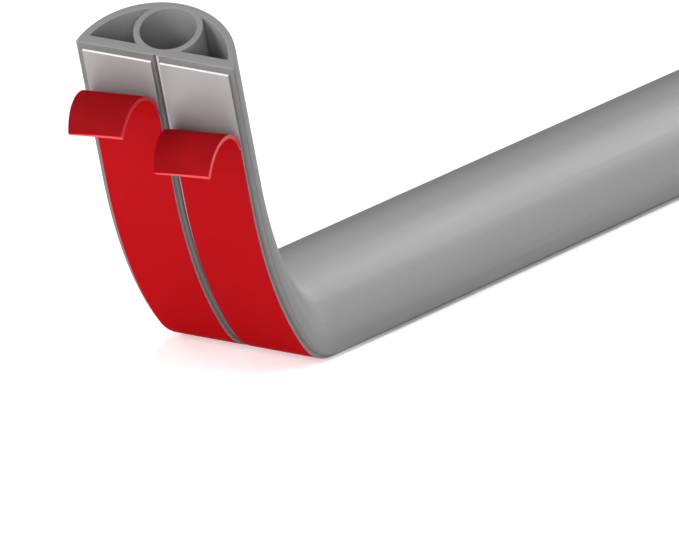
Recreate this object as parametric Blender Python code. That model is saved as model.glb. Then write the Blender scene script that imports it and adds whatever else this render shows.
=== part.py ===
"""Floor cord cover: an arched strip with three channels, one end bent up off the floor.

It is drawn with the tail along +X from the bend at x = 0, Y across it, and Z up from the floor,
and then centred in X on the origin. A section is drawn in its own frame: across it, and up
from the flat base.
"""

import bmesh
import bpy
from math import atan2, cos, pi, radians, sin, sqrt, tan
from mathutils import Matrix, Vector

MM = 0.001

# Section of the extrusion
WIDTH = 45.0 * MM
HEIGHT = 19.5 * MM
BORE_RADIUS = 7.5 * MM
BORE_CENTRE = 10.0 * MM
TUBE_WALL = 1.8 * MM
ARCH_WALL = 2.2 * MM
BASE_WALL = 3.0 * MM
GROOVE_WIDTH = 1.1 * MM
GROOVE_DEPTH = 0.7 * MM
EDGE_REACH = 0.45 * MM
CHAMBER_REACH = 0.7 * MM

# Tape and liner strips under the base
TAPE_MARGIN = 1.7 * MM
TAPE_SPACING = 2.4 * MM
TAPE_THICKNESS = 0.4 * MM
LINER_THICKNESS = 0.35 * MM
FIT_GAP = 0.25 * MM

# Length of the stock and the bend of its end, measured along the base
STOCK_LENGTH = 1.0
BEND_RADII = (43.0 * MM, 172.0 * MM)
BEND_ANGLES = (radians(31), radians(23))
STRAIGHT_END = 51.0 * MM
TAPE_SETBACK = 2.3 * MM

# Peeled ends of the liners, left and right. Each leaves its tape at a distance from the tip, on a line
# slightly out of square. From there it is rolled away from the base, unstretched, into part of a cone
# whose apex is on that line, to the left of the film's middle. Its radius is taken along its middle.
PEELED = (22.7 * MM, 30.4 * MM)
PEEL_SKEW = (radians(-5.2), radians(-2.4))
CURL_LENGTH = (34.2 * MM, 30.6 * MM)
CURL_START_RADIUS = (14.45 * MM, 10.1 * MM)
CURL_END_RADIUS = (13.9 * MM, 18.5 * MM)
APEX_REACH = (33.2 * MM, 30.8 * MM)
CURL_EASE = 2.0 * MM
END_CUT = radians(25.7)

STEP_ANGLE = radians(2)
CONE_STEP = radians(0.5)
CURL_STEP = 1.8 * MM
FILM_COLUMNS = 6
ARCH_SEGMENTS = 44
BORE_SEGMENTS = 36
CHAMBER_SEGMENTS = 8

UNDER_BASE = FIT_GAP + TAPE_THICKNESS + FIT_GAP + LINER_THICKNESS
BEND_LENGTH = sum(radius * angle for radius, angle in zip(BEND_RADII, BEND_ANGLES))
TAIL_LENGTH = STOCK_LENGTH - BEND_LENGTH - STRAIGHT_END
ARCH_RADIUS = ((WIDTH / 2) ** 2 + HEIGHT ** 2) / (2 * HEIGHT)
ARCH_CENTRE = HEIGHT - ARCH_RADIUS


def clear_scene():
    for item in list(bpy.data.objects):
        bpy.data.objects.remove(item, do_unlink=True)


def make_collection(name):
    collection = bpy.data.collections.new(name)
    bpy.context.scene.collection.children.link(collection)
    return collection


def make_material(name, colour, roughness):
    material = bpy.data.materials.new(name)
    material.use_nodes = True
    shader = material.node_tree.nodes["Principled BSDF"]
    shader.inputs["Base Color"].default_value = (*colour, 1.0)
    shader.inputs["Roughness"].default_value = roughness
    shader.inputs["Metallic"].default_value = 0.0
    return material


def arc_points(centre, radius, start, end, segments):
    """Points on an arc, both ends included; angles from the across axis."""
    turns = [start + (end - start) * step / segments for step in range(segments + 1)]
    return [Vector((centre[0] + radius * cos(turn), centre[1] + radius * sin(turn))) for turn in turns]


def soft_corner(before, corner, after, reach):
    """The corner rounded off over a short reach along both of its sides."""
    start = corner + (before - corner).normalized() * reach
    end = corner + (after - corner).normalized() * reach
    return [start.lerp(corner, part).lerp(corner.lerp(end, part), part) for part in (0, 0.33, 0.67, 1)]


def body_outline():
    """The outer edge of the section: the arch, and a flat base with a scored centre line."""
    tip = atan2(-ARCH_CENTRE, WIDTH / 2)
    arch = arc_points((0, ARCH_CENTRE), ARCH_RADIUS, tip, pi - tip, ARCH_SEGMENTS)
    right, left = arch[0], arch[-1]
    groove = [Vector((-GROOVE_WIDTH / 2, 0)), Vector((0, GROOVE_DEPTH)), Vector((GROOVE_WIDTH / 2, 0))]
    return (
        soft_corner(groove[-1], right, arch[1], EDGE_REACH)
        + arch[1:-1]
        + soft_corner(arch[-2], left, groove[0], EDGE_REACH)
        + groove
    )


def chamber_outline(side):
    """One three-cornered side chamber, between the base, the round channel's wall and the arch."""
    inner = BORE_RADIUS + TUBE_WALL
    outer = ARCH_RADIUS - ARCH_WALL
    floor_outer = Vector((sqrt(outer ** 2 - (BASE_WALL - ARCH_CENTRE) ** 2), BASE_WALL))
    floor_inner = Vector((sqrt(inner ** 2 - (BORE_CENTRE - BASE_WALL) ** 2), BASE_WALL))
    spread = BORE_CENTRE - ARCH_CENTRE
    rise = (outer ** 2 - inner ** 2 + spread ** 2) / (2 * spread)
    top = Vector((sqrt(outer ** 2 - rise ** 2), ARCH_CENTRE + rise))

    def turn(point, centre):
        return atan2(point[1] - centre, point[0])

    hood = arc_points((0, ARCH_CENTRE), outer, turn(floor_outer, ARCH_CENTRE), turn(top, ARCH_CENTRE),
                      CHAMBER_SEGMENTS)
    tube = arc_points((0, BORE_CENTRE), inner, turn(top, BORE_CENTRE), turn(floor_inner, BORE_CENTRE),
                      CHAMBER_SEGMENTS)
    points = (
        soft_corner(floor_inner, floor_outer, hood[1], CHAMBER_REACH)
        + hood[1:-1]
        + soft_corner(hood[-2], top, tube[1], CHAMBER_REACH)
        + tube[1:-1]
        + soft_corner(tube[-2], floor_inner, floor_outer, CHAMBER_REACH)
    )
    return [Vector((side * point[0], point[1])) for point in points]


def body_section():
    bore = arc_points((0, BORE_CENTRE), BORE_RADIUS, 0, 2 * pi, BORE_SEGMENTS)[:-1]
    return [body_outline(), bore, chamber_outline(1), chamber_outline(-1)]


def strip_section(side, thickness, top, columns=1):
    """A flat strip as wide as a tape, its upper face at a height below the base."""
    near = side * TAPE_SPACING / 2
    far = side * (WIDTH / 2 - TAPE_MARGIN)
    across = [near + (far - near) * step / columns for step in range(columns + 1)]
    lower = [Vector((place, top - thickness)) for place in across]
    upper = [Vector((place, top)) for place in reversed(across)]
    return [lower + upper]


def section_mesh(name, outlines):
    """A filled flat curve turned into a mesh in the YZ plane, standing on the base line."""
    curve = bpy.data.curves.new(name, "CURVE")
    curve.dimensions = "2D"
    curve.fill_mode = "BOTH"
    for outline in outlines:
        spline = curve.splines.new("POLY")
        spline.points.add(len(outline) - 1)
        for point, place in zip(spline.points, outline):
            point.co = (place[0], place[1], 0, 1)
        spline.use_cyclic_u = True
    flat = bpy.data.objects.new(name + "_section", curve)
    bpy.context.scene.collection.objects.link(flat)
    bpy.context.view_layer.update()
    shape = flat.evaluated_get(bpy.context.evaluated_depsgraph_get())
    mesh = bpy.data.meshes.new_from_object(shape)
    bpy.data.objects.remove(flat, do_unlink=True)
    bpy.data.curves.remove(curve)
    stand_up = Matrix(((0, 0, 1, 0), (1, 0, 0, 0), (0, 1, 0, UNDER_BASE), (0, 0, 0, 1)))
    mesh.transform(stand_up)
    return mesh


class Sweep:
    """A flat section carried along the stock, step by step, leaving a closed body behind it."""

    def __init__(self, mesh, start):
        self.bm = bmesh.new()
        self.bm.from_mesh(mesh)
        bpy.data.meshes.remove(mesh)
        bmesh.ops.remove_doubles(self.bm, verts=self.bm.verts, dist=1e-6)
        bmesh.ops.translate(self.bm, verts=self.bm.verts, vec=(start, 0, 0))
        self.face_ring = list(self.bm.faces)
        self.first_end = list(self.bm.faces)
        self.place = Vector((start, 0, UNDER_BASE))
        self.heading = Vector((-1, 0, 0))

    def move_on(self, grown):
        """The grown faces become the moving end; the old one would be a wall inside the body."""
        if self.face_ring != self.first_end:
            bmesh.ops.delete(self.bm, geom=self.face_ring, context="FACES")
        self.face_ring = [item for item in grown if isinstance(item, bmesh.types.BMFace)]

    def straight(self, length):
        grown = bmesh.ops.extrude_face_region(self.bm, geom=self.face_ring)["geom"]
        self.move_on(grown)
        verts = [item for item in grown if isinstance(item, bmesh.types.BMVert)]
        bmesh.ops.translate(self.bm, verts=verts, vec=self.heading * length)
        self.place += self.heading * length

    def bend(self, radius, angle, step):
        """Turns towards the arch for a positive radius, and away from it for a negative one."""
        side = Vector((-self.heading.z, 0, self.heading.x)) * (-1 if radius > 0 else 1)
        centre = self.place + side * abs(radius)
        turn = angle if radius > 0 else -angle
        steps = max(1, round(angle / step))
        spun = bmesh.ops.spin(self.bm, geom=self.face_ring, cent=centre, axis=(0, 1, 0), angle=turn,
                              steps=steps)["geom_last"]
        self.move_on(spun)
        rotation = Matrix.Rotation(turn, 3, "Y")
        self.place = centre + rotation @ (self.place - centre)
        self.heading = rotation @ self.heading

    def finish(self, name, material, collection):
        bmesh.ops.recalc_face_normals(self.bm, faces=self.bm.faces)
        mesh = bpy.data.meshes.new(name)
        self.bm.to_mesh(mesh)
        self.bm.free()
        mesh.materials.append(material)
        mesh.shade_smooth()
        mesh.set_sharp_from_angle(angle=radians(30))
        item = bpy.data.objects.new(name, mesh)
        collection.objects.link(item)
        return item


def carry_round_bend(sweep, stop_short):
    """From the far end of the tail, round the two arcs of the bend, up to a distance from its tip."""
    sweep.straight(TAIL_LENGTH)
    for radius, angle in zip(BEND_RADII, BEND_ANGLES):
        sweep.bend(radius, angle, STEP_ANGLE)
    sweep.straight(STRAIGHT_END - stop_short)


def make_body(collection):
    material = make_material("grey_pvc", (0.36, 0.355, 0.355), 0.42)
    sweep = Sweep(section_mesh("cover_body", body_section()), TAIL_LENGTH)
    carry_round_bend(sweep, 0)
    return sweep.finish("cover_body", material, collection)


def make_tape(name, side, collection):
    material = make_material(name + "_foam", (0.35, 0.345, 0.345), 0.6)
    section = strip_section(side, TAPE_THICKNESS, -FIT_GAP)
    sweep = Sweep(section_mesh(name, section), TAIL_LENGTH)
    carry_round_bend(sweep, TAPE_SETBACK)
    return sweep.finish(name, material, collection)


def film_curvature(which, along):
    """Curvature of a peeled film at a distance from its peel line; it sets in over a short ease."""
    part = min(1.0, along / CURL_LENGTH[which])
    full = (1 - part) / CURL_START_RADIUS[which] + part / CURL_END_RADIUS[which]
    return full * min(1.0, (along + CURL_EASE / 6) / CURL_EASE)


def cone_frames(which, ruling, outward):
    """The cone's rulings and the film's facing on each, at even steps of the flat film's angle."""
    frames = [(ruling, outward)]
    while len(frames) * CONE_STEP < radians(90):
        along = (len(frames) - 0.5) * CONE_STEP * APEX_REACH[which]
        axis = ruling * film_curvature(which, along) * APEX_REACH[which] + outward
        turn = Matrix.Rotation(axis.length * CONE_STEP, 3, axis)
        ruling, outward = turn @ ruling, turn @ outward
        frames.append((ruling, outward))
    return frames


def roll_up(sweep, peel, which):
    """Cuts the film's straight end out of square, and rolls the film past the peel line into the cone."""
    ahead = sweep.heading
    left = Vector((0, 1, 0))
    outward = Vector((-ahead.z, 0, ahead.x))
    forward = ahead * cos(PEEL_SKEW[which]) + left * sin(PEEL_SKEW[which])
    ruling = ahead * sin(PEEL_SKEW[which]) - left * cos(PEEL_SKEW[which])
    apex = peel - ruling * APEX_REACH[which]
    frames = cone_frames(which, ruling, outward)
    for vert in sweep.bm.verts:
        depth = (vert.co - peel).dot(outward)
        flat = vert.co - outward * depth - apex
        past = (vert.co - peel).dot(ahead)
        flat -= ahead * past * tan(END_CUT) * (vert.co - peel).y / CURL_LENGTH[which]
        steps = atan2(flat.dot(forward), flat.dot(ruling)) / CONE_STEP
        if steps > 0:
            (way, facing), (next_way, next_facing) = frames[int(steps):int(steps) + 2]
            part = steps - int(steps)
            vert.co = apex + way.slerp(next_way, part) * flat.length + facing.slerp(next_facing, part) * depth


def make_liner(name, side, which, collection):
    material = make_material(name + "_film", (0.5, 0.01, 0.018), 0.3)
    top = -2 * FIT_GAP - TAPE_THICKNESS
    sweep = Sweep(section_mesh(name, strip_section(side, LINER_THICKNESS, top, FILM_COLUMNS)), TAIL_LENGTH)
    carry_round_bend(sweep, PEELED[which] + CURL_STEP)
    middle = Vector((sweep.heading.z, 0, -sweep.heading.x)) * (top - LINER_THICKNESS / 2)
    middle.y = side * (WIDTH / 2 - TAPE_MARGIN + TAPE_SPACING / 2) / 2
    peel = sweep.place + sweep.heading * CURL_STEP + middle
    sweep.straight(CURL_STEP)
    steps = round(CURL_LENGTH[which] / CURL_STEP)
    for _ in range(steps):
        sweep.straight(CURL_LENGTH[which] / steps)
    roll_up(sweep, peel, which)
    return sweep.finish(name, material, collection)


def centre_on_origin(items):
    """Moves every piece so that the middle of the whole lies over the origin."""
    reach = [vert.co.x for item in items for vert in item.data.vertices]
    shift = Matrix.Translation((-(min(reach) + max(reach)) / 2, 0, 0))
    for item in items:
        item.data.transform(shift)


def main():
    clear_scene()
    collection = make_collection("floor_cord_cover")
    make_body(collection)
    for which, label, side in ((0, "left", 1), (1, "right", -1)):
        make_tape("adhesive_tape_" + label, side, collection)
        make_liner("release_liner_" + label, side, which, collection)
    centre_on_origin(collection.objects)


main()
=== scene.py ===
"""Looks of a floor cord cover: the grey extrusion with its raised end, two tapes and their red liners.

Every piece is first made straight, with its section carried along X from the far end of the tail,
and is then bent. A section is drawn across the stock (Y) and up from its flat base (Z).
"""

from math import asin, atan2, cos, pi, radians, sin, tan

import bmesh
import bpy
from mathutils import Matrix, Vector


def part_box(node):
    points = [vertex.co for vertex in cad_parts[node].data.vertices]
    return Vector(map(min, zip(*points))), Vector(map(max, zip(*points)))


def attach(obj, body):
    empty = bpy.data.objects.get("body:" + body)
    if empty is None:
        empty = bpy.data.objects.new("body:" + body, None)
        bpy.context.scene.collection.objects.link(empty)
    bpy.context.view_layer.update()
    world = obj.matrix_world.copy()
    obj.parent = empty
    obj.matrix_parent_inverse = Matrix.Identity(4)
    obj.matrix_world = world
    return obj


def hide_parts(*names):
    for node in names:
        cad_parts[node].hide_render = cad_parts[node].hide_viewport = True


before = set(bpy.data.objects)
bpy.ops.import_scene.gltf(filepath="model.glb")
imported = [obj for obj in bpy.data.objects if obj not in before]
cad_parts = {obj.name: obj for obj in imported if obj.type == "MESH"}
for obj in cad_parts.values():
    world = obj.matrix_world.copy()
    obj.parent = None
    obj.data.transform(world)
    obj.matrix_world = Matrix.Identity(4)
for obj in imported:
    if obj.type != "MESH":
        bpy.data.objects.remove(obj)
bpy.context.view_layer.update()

bl_info = {
    "name": "Floor cord cover",
    "version": (1, 0, 0),
    "blender": (4, 5, 0),
    "location": "View3D > Sidebar > Cord cover",
    "description": "Builds the looks of a floor cord cover around its solids",
    "category": "Object",
}

MM = 0.001
BASE_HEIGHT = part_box("cover_body")[0].z
TAIL_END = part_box("cover_body")[1].x
HALF_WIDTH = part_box("cover_body")[1].y

# Which way along Y each strip lies
SIDES = {"left": 1, "right": -1}

# Attributes that the materials read: a point's place on the straight piece, and how loose its film is
UNBENT = "unbent"
LOOSE = "loose"

# Which of its piece's materials a face takes, where it isn't the first
CUT_MATERIAL = 1
CHANNEL_MATERIAL = 2
SLIT_MATERIAL = 2

# How finely the pieces are divided
ARCH_STEPS = 90
BORE_STEPS = 72
CHAMBER_STEPS = 20
CORNER_STEPS = 3
RIM_STEPS = 3
TAIL_STEPS = 12
BEND_STEP = 1.0 * MM
TIP_STEPS = 4
LINER_CUTS = 15
CURL_STEP = 0.5 * MM
CURL_LEAD = 3.0 * MM

# A strip's side is a face whose normal leans further across than this, out of 1
SIDE_LEAN = 0.5

# Edges that turn more than this are shaded sharp
SHARP_ANGLE = radians(35)

# Colour painted on the base: how high its darker colour reaches, and the two stripes of the scored line,
# a painted highlight on its right wall and painted shade on its left, each from one place across the
# stock to another, with the height that both reach and the width of their soft edges
DARK_BASE_HEIGHT = 0.15 * MM
HIGHLIGHT_STRIPE = (-0.95 * MM, 0.05 * MM)
SHADE_STRIPE = (-0.05 * MM, 0.35 * MM)
STRIPE_HEIGHT = 1.0 * MM
STRIPE_SOFTNESS = 0.1 * MM


def length_property(name, description, default):
    return bpy.props.FloatProperty(name=name, description=description, default=default, min=0.0,
                                   precision=5, subtype="DISTANCE", unit="LENGTH")


def place_property(name, description, default):
    """A length that may be negative."""
    return bpy.props.FloatProperty(name=name, description=description, default=default,
                                   precision=5, subtype="DISTANCE", unit="LENGTH")


def angle_property(name, description, default):
    return bpy.props.FloatProperty(name=name, description=description, default=radians(default),
                                   subtype="ANGLE", unit="ROTATION")


def lengths_property(name, description, default):
    """A length for the left strip and one for the right."""
    return bpy.props.FloatVectorProperty(name=name, description=description, default=default, size=2,
                                         min=0.0, precision=5, unit="LENGTH")


def angles_property(name, description, default):
    """An angle for the left strip and one for the right."""
    return bpy.props.FloatVectorProperty(name=name, description=description, size=2, unit="ROTATION",
                                         default=[radians(angle) for angle in default])


def number_property(name, description, default):
    return bpy.props.FloatProperty(name=name, description=description, default=default)


def lamp_property(name, description, default):
    """Heading from +X towards +Y and height, both in degrees, then the lamp's side and power in watts."""
    return bpy.props.FloatVectorProperty(name=name, description=description, default=default, size=4)


def colour_property(name, description, default):
    return bpy.props.FloatVectorProperty(name=name, description=description, default=default,
                                         min=0.0, max=1.0, subtype="COLOR")


class CoverSizes(bpy.types.PropertyGroup):
    """Section of the extrusion, its length and the bend of its end."""

    height: length_property("Height", "From the flat base to the top of the arch", 19.5 * MM)
    bore_radius: length_property("Bore radius", "Radius of the round channel", 7.5 * MM)
    bore_centre: length_property("Bore centre", "Height of the round channel's centre", 10.0 * MM)
    tube_wall: length_property("Tube wall", "Wall round the round channel", 1.8 * MM)
    arch_wall: length_property("Arch wall", "Wall of the arch over the side chambers", 2.2 * MM)
    base_wall: length_property("Base wall", "Wall under the side chambers", 3.0 * MM)
    groove_width: length_property("Groove width", "Width of the scored line along the base", 1.1 * MM)
    groove_depth: length_property("Groove depth", "Depth of the scored line along the base", 0.7 * MM)
    edge_round: length_property("Edge rounding", "Rounding where the arch meets the base", 0.4 * MM)
    chamber_round: length_property("Chamber rounding", "Rounding of the side chambers' corners", 0.45 * MM)
    groove_round: length_property("Groove rounding", "Rounding of the scored line's corners", 0.12 * MM)
    cut_round: length_property("Cut edge", "Rounding of the edges of a sawn end", 0.2 * MM)
    stock_length: length_property("Stock length", "Length of the whole cover along its base", 1.0)
    tight_radius: length_property("Tight bend radius", "Radius of the bend next to the floor", 43.0 * MM)
    tight_angle: angle_property("Tight bend angle", "Angle of the bend next to the floor", 31)
    wide_radius: length_property("Wide bend radius", "Radius of the bend above the tight one", 172.0 * MM)
    wide_angle: angle_property("Wide bend angle", "Angle of the bend above the tight one", 23)
    straight_end: length_property("Straight end", "Straight stretch between the bend and the tip", 51.0 * MM)
    bend_ease: length_property("Bend easing", "Stretch over which the curvature changes", 8.0 * MM)


class StripSizes(bpy.types.PropertyGroup):
    """The two tapes under the base, and the liners that peel off them."""

    margin: length_property("Margin", "From the base's edge to a tape", 1.7 * MM)
    spacing: length_property("Spacing", "Between the two tapes", 2.4 * MM)
    setback: length_property("Setback", "From the tip of the cover to the tapes' ends", 2.3 * MM)
    tape_thickness: length_property("Tape thickness", "Thickness of a foam tape", 0.65 * MM)
    liner_thickness: length_property("Liner thickness", "Thickness of a stuck liner", 0.6 * MM)
    loose_thickness: length_property("Loose thickness", "Thickness of a liner in its curl", 1.1 * MM)
    tape_round: length_property("Tape rounding", "Rounding of a tape's edges", 0.12 * MM)
    liner_round: length_property("Liner rounding", "Rounding of a liner's edges", 0.12 * MM)
    curl_lift: length_property("Curl lift", "Gap that opens between a tape and its liner", 0.25 * MM)
    end_cut: angle_property("End cut", "Turn of a liner's cut end out of square", 25.7)
    peeled: lengths_property("Peeled", "From the tip to the peel line", (22.7 * MM, 30.4 * MM))
    peel_skew: angles_property("Peel skew", "Turn of the peel line out of square", (-5.2, -2.4))
    curl_length: lengths_property("Curl length", "Length of film in a curl", (34.2 * MM, 30.6 * MM))
    curl_start: lengths_property("Curl radius", "Radius where it leaves the tape", (14.45 * MM, 10.1 * MM))
    curl_end: lengths_property("Curl end radius", "Radius at the free end", (13.9 * MM, 18.5 * MM))
    apex_reach: lengths_property("Apex reach", "From the film's middle to its cone's apex",
                                 (33.2 * MM, 30.8 * MM))


class CoverColours(bpy.types.PropertyGroup):
    """Colours of the cover's materials."""

    pvc: colour_property("PVC", "Extruded skin", (0.084, 0.0825, 0.0825))
    # Painted light: the channel walls are paler than the skin, so the shaded insides of the channels read
    # lighter
    channel: colour_property("Channel", "Walls inside the three channels", (0.2, 0.196, 0.196))
    cut: colour_property("Sawn face", "Sawn ends of the extrusion", (0.148, 0.145, 0.145))
    # Painted highlight: a pale stripe for light on the scored line's right wall
    score_highlight: colour_property("Score", "Pale stripe along the right of the scored line", (0.42, 0.41, 0.41))
    # Painted shade: a dark stripe for shade on the scored line's left wall
    score_shade: colour_property("Deep", "Dark stripe along the scored line", (0.055, 0.054, 0.054))
    # The base beside and between the tapes is painted darker than the skin
    base: colour_property("Base", "Primed strip of the base beside the tapes", (0.118, 0.116, 0.116))
    tape: colour_property("Tape", "Bare adhesive face of a tape", (0.236, 0.235, 0.235))
    foam: colour_property("Foam", "Cut end of a tape", (0.55, 0.54, 0.54))
    # Painted shade: the slit sides of a tape are dark, not pale like its foam
    slit: colour_property("Slit sides", "Slit sides of a tape", (0.14, 0.137, 0.137))
    liner: colour_property("Liner", "Release film", (0.305, 0.0074, 0.0107))
    # Painted highlight: the loose edge of the film is paler than its face
    liner_edge: colour_property("Liner edge", "Loose edge of the release film", (0.55, 0.034, 0.04))
    # Painted shade: the edge of the stuck film is grey
    stuck_edge_shade: colour_property("Stuck edge", "Slit edge of the film where it is stuck", (0.2, 0.196, 0.196))
    floor: colour_property("Floor", "Studio floor", (0.9, 0.9, 0.9))


class StageLook(bpy.types.PropertyGroup):
    """Floor, light and camera."""

    aim_along: length_property("Aim along", "From the tail's far end to the middle of the picture", 0.8972)
    aim_across: place_property("Aim across", "Place across the stock of the picture's middle", -0.0351)
    aim_height: place_property("Aim height", "Height over the floor of the picture's middle", 0.03075)
    heading: angle_property("Heading", "Direction of view, from +X towards +Y", 19.866)
    downward: angle_property("Downward", "Angle of view below the horizon", 12.203)
    roll: angle_property("Roll", "Turn of the camera about its line of view", 5.943)
    distance: length_property("Distance", "From the camera to its aim", 6.6)
    lens: number_property("Lens", "Focal length in millimetres on a 36 mm sensor", 1325.5)
    floor_size: length_property("Floor size", "Side of the square floor", 12.0)
    floor_glow: number_property("Floor glow", "Strength of the light table's own light", 0.12)
    # A glowing patch under the raised end: a painted pool of light over the shade there
    patch_along: length_property("Patch along", "From the tail's far end to the middle of the patch", 0.95)
    patch_across: place_property("Patch across", "Place across the stock of the patch's middle", -0.01)
    patch_glow: number_property("Patch glow", "Strength that the table adds under the raised end", 0.4)
    patch_reach: length_property("Patch reach", "From the patch's middle to where it has faded", 0.15)
    patch_fade: length_property("Patch fade", "Width over which the patch fades", 0.08)
    sky: number_property("Sky", "Strength of the even light from all round", 0.0)
    back_light: lamp_property("Back light", "Gives the tail its sheen", (-4, 23, 1.0, 42))
    rim_light: lamp_property("Rim light", "Lightens the top of the tail", (20, 40, 1.5, 50))
    far_light: lamp_property("Far light", "High behind the picture's left", (110, 40, 1.5, 23))
    left_light: lamp_property("Left light", "Low on the picture's left", (155, 16, 1.5, 86))
    upper_light: lamp_property("Upper light", "Looks into the raised end", (188, 52, 1.5, 84))
    front_light: lamp_property("Front light", "Low beside the camera", (200, 12, 1.5, 54))
    right_light: lamp_property("Right light", "Low on the picture's right", (335, 12, 1.5, 38))
    light_distance: length_property("Light distance", "From the object to each light", 3.5)


class Outline:
    """A closed line in the section's plane, drawn from point to point, whose corners are rounded last."""

    def __init__(self, bm, start):
        self.bm = bm
        self.first = bm.verts.new((0, *start))
        self.last = self.first
        self.corners = []

    def line_to(self, point):
        self.last = bmesh.ops.extrude_vert_indiv(self.bm, verts=[self.last])["verts"][0]
        self.last.co = (0, *point)

    def arc(self, centre, angle, steps):
        grown = bmesh.ops.spin(self.bm, geom=[self.last], cent=(0, *centre), axis=(1, 0, 0), angle=angle,
                               steps=steps, use_merge=False)["geom_last"]
        self.last = next(item for item in grown if isinstance(item, bmesh.types.BMVert))

    def corner(self, reach):
        """The point just reached is a corner, rounded over this reach."""
        self.corners.append((self.last, reach))

    def close(self):
        self.bm.edges.new((self.last, self.first))
        for vert, reach in self.corners:
            bmesh.ops.bevel(self.bm, geom=[vert], offset=reach, offset_type="OFFSET", segments=CORNER_STEPS,
                            profile=0.5, affect="VERTICES", material=-1)


def arch_radius(sizes):
    """Radius of the arch's outer side, which passes through the top and both edges of the base."""
    return (HALF_WIDTH ** 2 + sizes.height ** 2) / (2 * sizes.height)


def draw_body_edge(bm, sizes):
    """Outer edge of the section: the arch from side to side, and the flat base with its scored line."""
    arch_centre = sizes.height - arch_radius(sizes)
    lean = atan2(-arch_centre, HALF_WIDTH)
    line = Outline(bm, (HALF_WIDTH, 0))
    line.corner(sizes.edge_round)
    line.arc((0, arch_centre), pi - 2 * lean, ARCH_STEPS)
    line.corner(sizes.edge_round)
    line.line_to((-sizes.groove_width / 2, 0))
    line.corner(sizes.groove_round)
    line.line_to((0, sizes.groove_depth))
    line.corner(sizes.groove_round)
    line.line_to((sizes.groove_width / 2, 0))
    line.corner(sizes.groove_round)
    line.close()


def draw_chamber(bm, sizes, side):
    """A three-cornered side chamber between the base, the round channel's wall and the arch."""
    arch_centre = sizes.height - arch_radius(sizes)
    outer = arch_radius(sizes) - sizes.arch_wall
    inner = sizes.bore_radius + sizes.tube_wall
    spread = sizes.bore_centre - arch_centre
    rise = (outer ** 2 - inner ** 2 + spread ** 2) / (2 * spread)
    foot_turn = asin((sizes.base_wall - arch_centre) / outer)
    top_turn = asin(rise / outer)
    top_on_tube = asin((rise - spread) / inner)
    foot_on_tube = -asin((sizes.bore_centre - sizes.base_wall) / inner)
    line = Outline(bm, (side * outer * cos(foot_turn), sizes.base_wall))
    line.corner(sizes.chamber_round)
    line.arc((0, arch_centre), side * (top_turn - foot_turn), CHAMBER_STEPS)
    line.corner(sizes.chamber_round)
    line.arc((0, sizes.bore_centre), side * (foot_on_tube - top_on_tube), CHAMBER_STEPS)
    line.corner(sizes.chamber_round)
    line.close()


def draw_bore(bm, sizes):
    stand = Matrix.Translation((0, 0, sizes.bore_centre)) @ Matrix.Rotation(radians(90), 4, "Y")
    bmesh.ops.create_circle(bm, cap_ends=False, segments=BORE_STEPS, radius=sizes.bore_radius, matrix=stand)


def strip_edges(side, strips):
    """Where the inner and outer edges of a tape, and of its liner, lie across the stock."""
    return side * strips.spacing / 2, side * (HALF_WIDTH - strips.margin)


def draw_strip(bm, side, strips, top, thickness, rounding, cuts=0):
    """Section of a flat strip under the base, whose two wide faces may be divided by cuts along it."""
    near, far = strip_edges(side, strips)
    line = Outline(bm, (near, top))
    line.corner(rounding)
    for point in ((far, top), (far, top - thickness), (near, top - thickness)):
        line.line_to(point)
        line.corner(rounding)
    line.close()
    if cuts:
        wide = [edge for edge in bm.edges if edge.calc_length() > abs(far - near) / 2]
        bmesh.ops.subdivide_edges(bm, edges=wide, cuts=cuts)


def carry_section(bm, stations, rim_radius):
    """Carries the drawn section along X and closes both ends, whose edges are slightly rounded."""
    first_rim = list(bm.edges)
    rim = first_rim
    bmesh.ops.translate(bm, verts=bm.verts, vec=(stations[0] + rim_radius, 0, 0))
    inner = [place for place in stations if stations[0] + rim_radius < place < stations[-1] - rim_radius]
    places = [stations[0] + rim_radius, *inner, stations[-1] - rim_radius]
    for before, after in zip(places, places[1:]):
        grown = bmesh.ops.extrude_edge_only(bm, edges=rim)["geom"]
        verts = {item for item in grown if isinstance(item, bmesh.types.BMVert)}
        edges = [item for item in grown if isinstance(item, bmesh.types.BMEdge)]
        rim = [edge for edge in edges if verts.issuperset(edge.verts)]
        bmesh.ops.translate(bm, verts=list(verts), vec=(after - before, 0, 0))
    close_end(bm, first_rim, -1, rim_radius)
    close_end(bm, rim, 1, rim_radius)
    bmesh.ops.recalc_face_normals(bm, faces=bm.faces)
    bm.normal_update()


def close_end(bm, rim, way, radius):
    """Fills an end across its openings; the edges of the cut are turned over in a few steps."""
    filled = bmesh.ops.triangle_fill(bm, edges=rim, use_beauty=True, use_dissolve=False)["geom"]
    faces = [item for item in filled if isinstance(item, bmesh.types.BMFace)]
    for face in faces:
        face.material_index = CUT_MATERIAL
        if face.normal.x * way < 0:
            face.normal_flip()
    for step in range(RIM_STEPS):
        before = radians(90) * step / RIM_STEPS
        after = radians(90) * (step + 1) / RIM_STEPS
        bmesh.ops.inset_region(bm, faces=faces, use_boundary=True, use_even_offset=True,
                               thickness=radius * (cos(before) - cos(after)),
                               depth=radius * (sin(after) - sin(before)))


def paint_sides(bm, index):
    """Gives the slit sides of a straight strip another of its materials."""
    for face in bm.faces:
        if abs(face.normal.y) > SIDE_LEAN:
            face.material_index = index


def paint_channels(bm, sizes):
    """Gives the walls of the channels in the straight cover a material of their own, paler as painted light.

    They lie above the middle of the base wall and within the middle of the arch's wall.
    """
    arch_centre = sizes.height - arch_radius(sizes)
    reach = arch_radius(sizes) - sizes.arch_wall / 2
    for face in bm.faces:
        middle = face.calc_center_median()
        within_arch = Vector((middle.y, middle.z - arch_centre)).length < reach
        over_base = middle.z > sizes.base_wall / 2
        if within_arch and over_base and face.material_index != CUT_MATERIAL:
            face.material_index = CHANNEL_MATERIAL


def eased(value):
    """A smooth step from 0 to 1."""
    part = min(1.0, max(0.0, value))
    return part * part * (3 - 2 * part)


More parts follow.
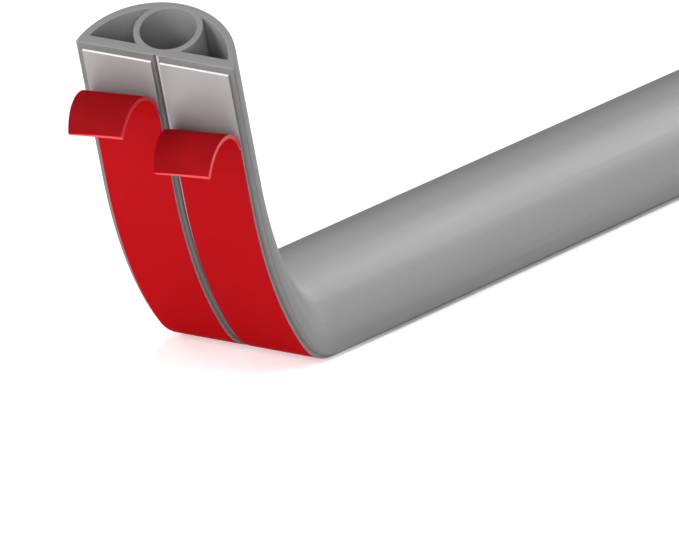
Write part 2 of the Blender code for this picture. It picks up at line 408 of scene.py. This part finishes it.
class BaseLine:
    """Where the base runs: along the floor, round the bend and straight on to the tip.

    The curvature changes smoothly, so the line is worked out in short steps from the start of the bend.
    """

    STEP = 0.25 * MM

    def __init__(self, sizes):
        tight = sizes.tight_radius * sizes.tight_angle
        wide = sizes.wide_radius * sizes.wide_angle
        self.tail = sizes.stock_length - tight - wide - sizes.straight_end
        self.bend_end = self.tail + tight + wide
        self.ease = sizes.bend_ease
        self.changes = (
            (self.tail, 1 / sizes.tight_radius),
            (self.tail + tight, 1 / sizes.wide_radius - 1 / sizes.tight_radius),
            (self.bend_end, -1 / sizes.wide_radius),
        )
        self.start = self.tail - self.ease / 2
        self.rows = [(0.0, Vector((TAIL_END - self.start, 0, BASE_HEIGHT)))]
        while self.start + self.STEP * len(self.rows) < sizes.stock_length + self.STEP:
            turn, place = self.rows[-1]
            middle = self.start + self.STEP * (len(self.rows) - 0.5)
            grown = self.curvature(middle) * self.STEP
            way = turn + grown / 2
            self.rows.append((turn + grown, place + Vector((-cos(way), 0, sin(way))) * self.STEP))

    def curvature(self, along):
        return sum(change * eased((along - place) / self.ease + 0.5) for place, change in self.changes)

    def stations(self, sizes, last):
        """Places along the base where a piece that ends at the last of them is divided."""
        bend = round((self.bend_end - self.start) / BEND_STEP)
        places = [self.start * step / TAIL_STEPS for step in range(TAIL_STEPS)]
        places += [self.start + BEND_STEP * step for step in range(bend)]
        first = self.start + BEND_STEP * bend
        places += [first + (last - first) * step / TIP_STEPS for step in range(TIP_STEPS + 1)]
        return places

    def frame_at(self, along):
        """Turn of the base line out of the floor, and its place."""
        if along <= self.start:
            return 0.0, Vector((TAIL_END - along, 0, BASE_HEIGHT))
        part = (along - self.start) / self.STEP
        row = min(int(part), len(self.rows) - 2)
        (turn, place), (next_turn, next_place) = self.rows[row:row + 2]
        return turn + (next_turn - turn) * (part - row), place.lerp(next_place, part - row)

    def bent(self, point):
        """Where a point of the straight piece lies on the bent stock."""
        turn, place = self.frame_at(point.x)
        return place + Vector((sin(turn) * point.z, point.y, cos(turn) * point.z))


class Curl:
    """The peeled end of a liner: flat film rolled into part of a cone, so that it isn't stretched.

    The cone's apex lies on the peel line, where the film leaves the tape, to the left of the liner. The
    flat film is a sector about the apex, and each ray of the sector turns into a straight line on the cone.
    """

    # Angle between two rays, and the angle of the whole sector that is worked out
    STEP = radians(0.5)
    SECTOR = radians(90)

    # The curvature starts at a share of its full value, and reaches it over this length of film
    FIRST_SHARE = 1 / 6
    EASE = 2.0 * MM

    # Length of film over which it comes off the tape and gets its loose thickness
    LOOSE_AFTER = 3.0 * MM

    def __init__(self, strips, line, which, peel, across):
        self.line = line
        self.peel = peel
        self.across = across
        self.lift = strips.curl_lift
        self.top = -strips.tape_thickness
        self.thicker = strips.loose_thickness / strips.liner_thickness - 1
        self.length = strips.curl_length[which]
        self.slant = tan(strips.end_cut) / self.length
        self.reach = strips.apex_reach[which]
        self.radii = (strips.curl_start[which], strips.curl_end[which])
        # Height of the surface that rolls up without stretching
        self.middle = -strips.tape_thickness - (strips.liner_thickness + self.lift) / 2
        # Along the base and straight out of it, at the peel line
        turn, place = line.frame_at(peel)
        ahead = Vector((-cos(turn), 0, sin(turn)))
        out = Vector((-sin(turn), 0, -cos(turn)))
        # The ray on the peel line, and the apex, first on the flat film and then in space
        skew = strips.peel_skew[which]
        self.flat_ruling = Vector((sin(skew), -cos(skew)))
        self.flat_forward = Vector((cos(skew), sin(skew)))
        self.flat_apex = Vector((peel, across)) - self.flat_ruling * self.reach
        ruling = ahead * sin(skew) - Vector((0, cos(skew), 0))
        self.apex = place + Vector((0, across, 0)) - out * self.middle - ruling * self.reach
        # Each ray turns a little further than the last about the apex
        self.rows = [(ruling, out)]
        while len(self.rows) * self.STEP < self.SECTOR:
            bend = self.reach * self.curvature((len(self.rows) - 0.5) * self.STEP * self.reach)
            axis = ruling * bend + out
            rotation = Matrix.Rotation(axis.length * self.STEP, 3, axis)
            ruling, out = rotation @ ruling, rotation @ out
            self.rows.append((ruling, out))

    def curvature(self, along):
        """Curvature of the film along its middle, at a distance past the peel line."""
        part = min(1.0, along / self.length)
        full = (1 - part) / self.radii[0] + part / self.radii[1]
        return full * min(1.0, self.FIRST_SHARE + along / self.EASE)

    def loose(self, along):
        """How far the film has come off its tape, from 0 to 1, at a place along the straight piece."""
        return eased((along - self.peel) / self.LOOSE_AFTER)

    def slanted(self, point):
        """The straight film with its end cut out of square."""
        past = max(0.0, point.x - self.peel)
        return point + Vector((past * self.slant * (self.across - point.y), 0, 0))

    def bent(self, point):
        """Where a point of the straight film lies, on the bent stock or in the curl."""
        flat = Vector((point.x, point.y)) - self.flat_apex
        steps = atan2(flat.dot(self.flat_forward), flat.dot(self.flat_ruling)) / self.STEP
        lifted = point.z - self.loose(point.x) * (self.lift + self.thicker * (self.top - point.z))
        if steps <= 0:
            return self.line.bent(Vector((point.x, point.y, lifted)))
        (ruling, out), (next_ruling, next_out) = self.rows[int(steps):int(steps) + 2]
        part = steps - int(steps)
        return (self.apex + ruling.slerp(next_ruling, part) * flat.length
                + out.slerp(next_out, part) * (self.middle - lifted))


class Piece:
    """Shared ending of every piece: its mesh, its materials and its place in the frame."""

    def __init__(self, name, slot, replaced):
        self.name = name
        self.slot = slot
        self.replaced = replaced

    def finish(self, bm, bend, materials):
        layer = bm.verts.layers.float_vector.new(UNBENT)
        for vert in bm.verts:
            vert[layer] = vert.co
            vert.co = bend(vert.co.copy())
        bmesh.ops.recalc_face_normals(bm, faces=bm.faces)
        mesh = bpy.data.meshes.new(self.name)
        bm.to_mesh(mesh)
        bm.free()
        for material in materials:
            mesh.materials.append(material)
        mesh.shade_smooth()
        mesh.set_sharp_from_angle(angle=SHARP_ANGLE)
        item = bpy.data.objects.new(self.name, mesh)
        bpy.context.scene.collection.objects.link(item)
        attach(item, "root")
        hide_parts(self.replaced)


class Socket:
    """A shader socket that can stand in a Python expression; each operator adds a Math node."""

    def __init__(self, finish, socket):
        self.finish = finish
        self.socket = socket

    def math(self, operation, *terms):
        return self.finish.node("ShaderNodeMath", {"operation": operation}, dict(enumerate(terms)))

    def __add__(self, other):
        return self.math("ADD", self, other)

    __radd__ = __add__

    def __sub__(self, other):
        return self.math("SUBTRACT", self, other)

    def __rsub__(self, other):
        return self.math("SUBTRACT", other, self)

    def __mul__(self, other):
        return self.math("MULTIPLY", self, other)

    __rmul__ = __mul__

    def __truediv__(self, other):
        return self.math("DIVIDE", self, other)

    def clamped(self):
        return self.math("MAXIMUM", self.math("MINIMUM", self, 1.0), 0.0)

    def eased(self):
        """A smooth step from 0 to 1."""
        part = self.clamped()
        return part * part * (3 - 2 * part)

    def between(self, low, high, softness):
        """1 between two limits, which falls to 0 at them over a width."""
        return ((self - low) / softness).clamped() * ((high - self) / softness).clamped()


class Finish:
    """A material under construction."""

    def __init__(self, name):
        self.material = bpy.data.materials.new(name)
        self.material.use_nodes = True
        self.tree = self.material.node_tree
        self.shader = self.tree.nodes["Principled BSDF"]

    def node(self, kind, settings=None, inputs=None, output=0):
        made = self.tree.nodes.new(kind)
        for name, value in (settings or {}).items():
            setattr(made, name, value)
        for key, value in (inputs or {}).items():
            self.put(made.inputs[key], value)
        return Socket(self, made.outputs[output])

    def put(self, socket, value):
        if isinstance(value, Socket):
            self.tree.links.new(value.socket, socket)
        else:
            socket.default_value = value

    def set(self, **values):
        """Puts values or links on the shader's own sockets; an underscore in a name stands for a space."""
        for name, value in values.items():
            self.put(self.shader.inputs[name.replace("_", " ")], value)

    def attribute(self, name, output):
        return self.node("ShaderNodeAttribute", {"attribute_name": name, "attribute_type": "GEOMETRY"},
                         output=output)

    def unbent(self, along=1, across=1, up=1):
        """Coordinates on the straight piece, with so many cells of a pattern to the metre each way."""
        cells = (along, across, up)
        return self.node("ShaderNodeVectorMath", {"operation": "MULTIPLY"},
                         {0: self.attribute(UNBENT, "Vector"), 1: cells})

    def along(self, axis):
        """Distance along one axis of the straight piece."""
        return self.node("ShaderNodeSeparateXYZ", None, {0: self.attribute(UNBENT, "Vector")}, output=axis)

    def noise(self, cells, detail):
        return self.node("ShaderNodeTexNoise", {"noise_dimensions": "3D"},
                         {"Vector": cells, "Scale": 1.0, "Detail": detail})

    def mix(self, factor, first, second):
        return self.node("ShaderNodeMix", {"data_type": "RGBA"}, {0: factor, 6: first, 7: second}, output=2)

    def varied(self, pattern, colour, share):
        """A colour that a pattern makes darker and lighter by up to this share."""
        return self.mix(pattern, solid(colour, 1 - share), solid(colour, 1 + share))

    def bump(self, height, distance):
        return self.node("ShaderNodeBump", None, {"Height": height, "Distance": distance})


def solid(colour, factor=1.0):
    """A colour with alpha, lighter or darker by a factor."""
    return (*(min(1.0, part * factor) for part in colour), 1.0)


def pvc_skin(colours):
    """Satin extruded vinyl: lines from the die, a slight grain, a darker base, and the scored line's
    stripes, a painted highlight and painted shade.
    """
    finish = Finish("pvc_skin")
    lines = finish.noise(finish.unbent(3, 900, 900), detail=3)
    fine = finish.noise(finish.unbent(12, 3500, 3500), detail=2)
    grain = finish.noise(finish.unbent(4000, 4000, 4000), detail=1)
    tone = finish.noise(finish.unbent(7, 45, 45), detail=3)
    across = finish.along("Y")
    height = finish.along("Z")
    # The base is painted darker up to a small height
    on_base = (1 - height / DARK_BASE_HEIGHT).clamped()
    in_score = ((STRIPE_HEIGHT - height) / STRIPE_SOFTNESS).clamped()
    # Painted highlight and painted shade on the walls of the scored line
    highlight_stripe = across.between(*HIGHLIGHT_STRIPE, STRIPE_SOFTNESS) * in_score
    shade_stripe = across.between(*SHADE_STRIPE, STRIPE_SOFTNESS) * in_score
    dark_base = finish.mix(on_base, finish.varied(tone, colours.pvc, 0.06), solid(colours.base))
    scored = finish.mix(shade_stripe, dark_base, solid(colours.score_shade))
    finish.set(
        Base_Color=finish.mix(highlight_stripe, scored, solid(colours.score_highlight)),
        Roughness=0.46 + 0.1 * lines + 0.06 * tone + 0.1 * on_base,
        Normal=finish.bump(lines * 0.5 + fine * 0.3 + grain * 0.4, 0.02 * MM),
        IOR=1.5,
    )
    return finish.material


def pvc_channel(colours):
    """Walls inside the channels, a little duller than the outer skin and paler as painted light in them."""
    finish = Finish("pvc_channel")
    lines = finish.noise(finish.unbent(3, 700, 700), detail=3)
    tone = finish.noise(finish.unbent(20, 60, 60), detail=2)
    finish.set(
        Base_Color=finish.varied(tone, colours.channel, 0.05),
        Roughness=0.5 + 0.1 * lines,
        Normal=finish.bump(lines, 0.02 * MM),
    )
    return finish.material


def pvc_cut(colours):
    """Sawn face of the extrusion: fine slanting saw marks on a duller ground."""
    finish = Finish("pvc_cut")
    slant = radians(24)
    turned = finish.node("ShaderNodeMapping", {"vector_type": "POINT"},
                         {"Vector": finish.unbent(), "Scale": (1, 300, 5200), "Rotation": (slant, 0, 0)})
    marks = finish.noise(turned, detail=3)
    tone = finish.noise(finish.unbent(900, 900, 900), detail=3)
    finish.set(
        Base_Color=finish.varied(marks, colours.cut, 0.05),
        Roughness=0.5 + 0.12 * tone,
        Normal=finish.bump(marks + 0.5 * tone, 0.015 * MM),
    )
    return finish.material


def tape_face(colours):
    """Bare adhesive on foam: an even satin grey with a faint dimpled texture."""
    finish = Finish("tape_face")
    cells = finish.node("ShaderNodeTexVoronoi", {"feature": "SMOOTH_F1"},
                        {"Vector": finish.unbent(2600, 2600, 2600), "Scale": 1.0})
    tone = finish.noise(finish.unbent(160, 220, 220), detail=3)
    finish.set(
        Base_Color=finish.varied(tone, colours.tape, 0.03),
        Roughness=0.46 + 0.12 * tone,
        Normal=finish.bump(cells, 0.012 * MM),
    )
    return finish.material


def tape_foam(colours):
    """Cut end of the foam: pale and open-celled."""
    finish = Finish("tape_foam")
    cells = finish.node("ShaderNodeTexVoronoi", {"feature": "F1"},
                        {"Vector": finish.unbent(6500, 6500, 6500), "Scale": 1.0})
    finish.set(
        Base_Color=finish.mix(cells, solid(colours.foam), solid(colours.foam, 0.9)),
        Roughness=0.7,
        Normal=finish.bump(cells, 0.03 * MM),
    )
    return finish.material


def tape_slit_shade(colours):
    """Slit side of a tape: darker than its foam, as painted shade."""
    finish = Finish("tape_slit_shade")
    smear = finish.noise(finish.unbent(400, 1500, 1500), detail=3)
    finish.set(
        Base_Color=finish.varied(smear, colours.slit, 0.2),
        Roughness=0.5 + 0.2 * smear,
    )
    return finish.material


def liner_film(colours):
    """Red release film: satin, with a sheen in its own colour, slack ripples and a faint draw along it."""
    finish = Finish("release_film")
    ripple = finish.noise(finish.unbent(38, 60, 60), detail=2)
    draw = finish.noise(finish.unbent(25, 1400, 1400), detail=2)
    tone = finish.noise(finish.unbent(15, 30, 30), detail=2)
    finish.set(
        Base_Color=finish.varied(tone, colours.liner, 0.05),
        Metallic=0.45,
        Roughness=0.3 + 0.08 * draw + 0.05 * ripple,
        Specular_Tint=(1.0, 0.02, 0.03, 1.0),
        Specular_IOR_Level=0.0,
        Normal=finish.bump(ripple + 0.03 * draw, 0.15 * MM),
    )
    return finish.material


def liner_edge(colours):
    """Cut edge of the film: paler than its face where it is loose, as a painted highlight,
    and grey where it is stuck, as painted shade.
    """
    finish = Finish("liner_edge")
    marks = finish.noise(finish.unbent(1500, 200, 200), detail=2)
    loose_highlight = finish.varied(marks, colours.liner_edge, 0.07)
    finish.set(
        # Painted shade where the film is stuck, painted highlight where it is loose
        Base_Color=finish.mix(finish.attribute(LOOSE, "Fac"), solid(colours.stuck_edge_shade), loose_highlight),
        Roughness=0.45 + 0.1 * marks,
        Specular_IOR_Level=0.1,
    )
    return finish.material


def floor_paint(colours, look):
    """Matt white light table, lit a little from below; a glowing patch under the raised end is a painted
    pool of light over the shade there.
    """
    finish = Finish("studio_floor")
    place = finish.node("ShaderNodeTexCoord", output="Object")
    middle = (TAIL_END - look.patch_along, look.patch_across, 0)
    apart = finish.node("ShaderNodeVectorMath", {"operation": "DISTANCE"}, {0: place, 1: middle},
                        output="Value")
    # Painted pool of light under the raised end
    patch = ((look.patch_reach - apart) / look.patch_fade).eased()
    finish.set(
        Base_Color=solid(colours.floor),
        Roughness=0.8,
        Emission_Color=patch * look.patch_glow + look.floor_glow,
        Emission_Strength=1.0,
    )
    return finish.material


class OBJECT_OT_cover_body(bpy.types.Operator):
    """Build the extruded body with its three channels."""

    bl_idname = "object.cover_body"
    bl_label = "Cover body"

    def execute(self, context):
        sizes = context.scene.cover_sizes
        line = BaseLine(sizes)
        bm = bmesh.new()
        draw_body_edge(bm, sizes)
        draw_bore(bm, sizes)
        for side in SIDES.values():
            draw_chamber(bm, sizes, side)
        carry_section(bm, line.stations(sizes, sizes.stock_length), sizes.cut_round)
        paint_channels(bm, sizes)
        colours = context.scene.cover_colours
        piece = Piece("extruded_cover", "cover_pvc", "cover_body")
        piece.finish(bm, line.bent, [pvc_skin(colours), pvc_cut(colours), pvc_channel(colours)])
        return {"FINISHED"}


class OBJECT_OT_cover_tapes(bpy.types.Operator):
    """Build the two foam tapes under the base."""

    bl_idname = "object.cover_tapes"
    bl_label = "Tapes"

    def execute(self, context):
        sizes = context.scene.cover_sizes
        strips = context.scene.cover_strips
        colours = context.scene.cover_colours
        line = BaseLine(sizes)
        face = tape_face(colours)
        foam = tape_foam(colours)
        slit = tape_slit_shade(colours)
        for label, side in SIDES.items():
            bm = bmesh.new()
            draw_strip(bm, side, strips, 0, strips.tape_thickness, strips.tape_round)
            carry_section(bm, line.stations(sizes, sizes.stock_length - strips.setback), strips.tape_round)
            paint_sides(bm, SLIT_MATERIAL)
            piece = Piece("foam_tape_" + label, "foam_tape", "adhesive_tape_" + label)
            piece.finish(bm, line.bent, [face, foam, slit])
        return {"FINISHED"}


class OBJECT_OT_cover_liners(bpy.types.Operator):
    """Build the two red liners with their peeled ends."""

    bl_idname = "object.cover_liners"
    bl_label = "Liners"

    def execute(self, context):
        sizes = context.scene.cover_sizes
        strips = context.scene.cover_strips
        colours = context.scene.cover_colours
        line = BaseLine(sizes)
        film = liner_film(colours)
        edge = liner_edge(colours)
        for which, (label, side) in enumerate(SIDES.items()):
            bm = bmesh.new()
            draw_strip(bm, side, strips, -strips.tape_thickness, strips.liner_thickness, strips.liner_round,
                       LINER_CUTS)
            peel = sizes.stock_length - strips.peeled[which]
            curl = Curl(strips, line, which, peel, sum(strip_edges(side, strips)) / 2)
            steps = round((strips.curl_length[which] + CURL_LEAD) / CURL_STEP)
            places = line.stations(sizes, peel - CURL_LEAD)
            places += [peel - CURL_LEAD + CURL_STEP * (step + 1) for step in range(steps)]
            carry_section(bm, places, strips.liner_round)
            paint_sides(bm, CUT_MATERIAL)
            loose = bm.verts.layers.float.new(LOOSE)
            for vert in bm.verts:
                vert[loose] = curl.loose(vert.co.x)
                vert.co = curl.slanted(vert.co)
            piece = Piece("liner_film_" + label, "liner_film", "release_liner_" + label)
            piece.finish(bm, curl.bent, [film, edge])
        return {"FINISHED"}


class SCENE_OT_cover_stage(bpy.types.Operator):
    """Build the floor, the light and the camera."""

    bl_idname = "scene.cover_stage"
    bl_label = "Stage"

    def execute(self, context):
        look = context.scene.cover_stage
        self.make_floor(context, look)
        self.make_light(context, look)
        self.make_camera(context, look)
        context.scene.view_settings.view_transform = "Standard"
        return {"FINISHED"}

    def make_floor(self, context, look):
        bm = bmesh.new()
        bmesh.ops.create_grid(bm, x_segments=1, y_segments=1, size=look.floor_size / 2)
        mesh = bpy.data.meshes.new("studio_floor")
        bm.to_mesh(mesh)
        bm.free()
        mesh.materials.append(floor_paint(context.scene.cover_colours, look))
        floor = bpy.data.objects.new("studio_floor", mesh)
        context.scene.collection.objects.link(floor)

    def make_light(self, context, look):
        world = bpy.data.worlds.new("studio")
        world.use_nodes = True
        background = world.node_tree.nodes["Background"]
        background.inputs["Color"].default_value = (1, 1, 1, 1)
        background.inputs["Strength"].default_value = look.sky
        context.scene.world = world
        for name in ("back_light", "rim_light", "far_light", "left_light", "upper_light",
                     "front_light", "right_light"):
            heading, height, side, power = getattr(look, name)
            light = bpy.data.lights.new(name, "AREA")
            light.shape = "SQUARE"
            light.size = side
            light.energy = power
            lamp = bpy.data.objects.new(name, light)
            context.scene.collection.objects.link(lamp)
            turn = radians(heading)
            rise = radians(height)
            away = Vector((cos(rise) * cos(turn), cos(rise) * sin(turn), sin(rise)))
            lamp.location = self.aim(look) + away * look.light_distance
            lamp.rotation_mode = "QUATERNION"
            lamp.rotation_quaternion = away.to_track_quat("Z", "Y")

    def aim(self, look):
        return Vector((TAIL_END - look.aim_along, look.aim_across, look.aim_height))

    def make_camera(self, context, look):
        data = bpy.data.cameras.new("camera")
        data.lens = look.lens
        data.clip_start = 0.1
        data.clip_end = 50.0
        camera = bpy.data.objects.new("camera", data)
        context.scene.collection.objects.link(camera)
        context.scene.camera = camera
        flat = cos(look.downward)
        way = Vector((flat * cos(look.heading), flat * sin(look.heading), -sin(look.downward)))
        right = way.cross(Vector((0, 0, 1))).normalized()
        up = right.cross(way)
        rolled_right = right * cos(look.roll) + up * sin(look.roll)
        rolled_up = up * cos(look.roll) - right * sin(look.roll)
        turn = Matrix((rolled_right, rolled_up, -way)).transposed().to_4x4()
        camera.matrix_world = Matrix.Translation(self.aim(look) - way * look.distance) @ turn


class VIEW3D_PT_cord_cover(bpy.types.Panel):
    """Lists the settings of the cord cover and the steps that build it."""

    bl_label = "Floor cord cover"
    bl_idname = "VIEW3D_PT_cord_cover"
    bl_space_type = "VIEW_3D"
    bl_region_type = "UI"
    bl_category = "Cord cover"

    def draw(self, context):
        for group in GROUPS:
            box = self.layout.box()
            settings = getattr(context.scene, group)
            for name in settings.__annotations__:
                box.prop(settings, name)
        for step in OPERATORS:
            self.layout.operator(step.bl_idname)


GROUPS = {
    "cover_sizes": CoverSizes,
    "cover_strips": StripSizes,
    "cover_colours": CoverColours,
    "cover_stage": StageLook,
}
OPERATORS = (SCENE_OT_cover_stage, OBJECT_OT_cover_body, OBJECT_OT_cover_tapes, OBJECT_OT_cover_liners)


def register():
    for name, group in GROUPS.items():
        bpy.utils.register_class(group)
        setattr(bpy.types.Scene, name, bpy.props.PointerProperty(type=group))
    for item in (*OPERATORS, VIEW3D_PT_cord_cover):
        bpy.utils.register_class(item)


def unregister():
    for item in reversed((*OPERATORS, VIEW3D_PT_cord_cover)):
        bpy.utils.unregister_class(item)
    for name, group in reversed(GROUPS.items()):
        delattr(bpy.types.Scene, name)
        bpy.utils.unregister_class(group)


def main():
    register()
    bpy.ops.scene.cover_stage()
    bpy.ops.object.cover_body()
    bpy.ops.object.cover_tapes()
    bpy.ops.object.cover_liners()


if __name__ == "__main__":
    main()
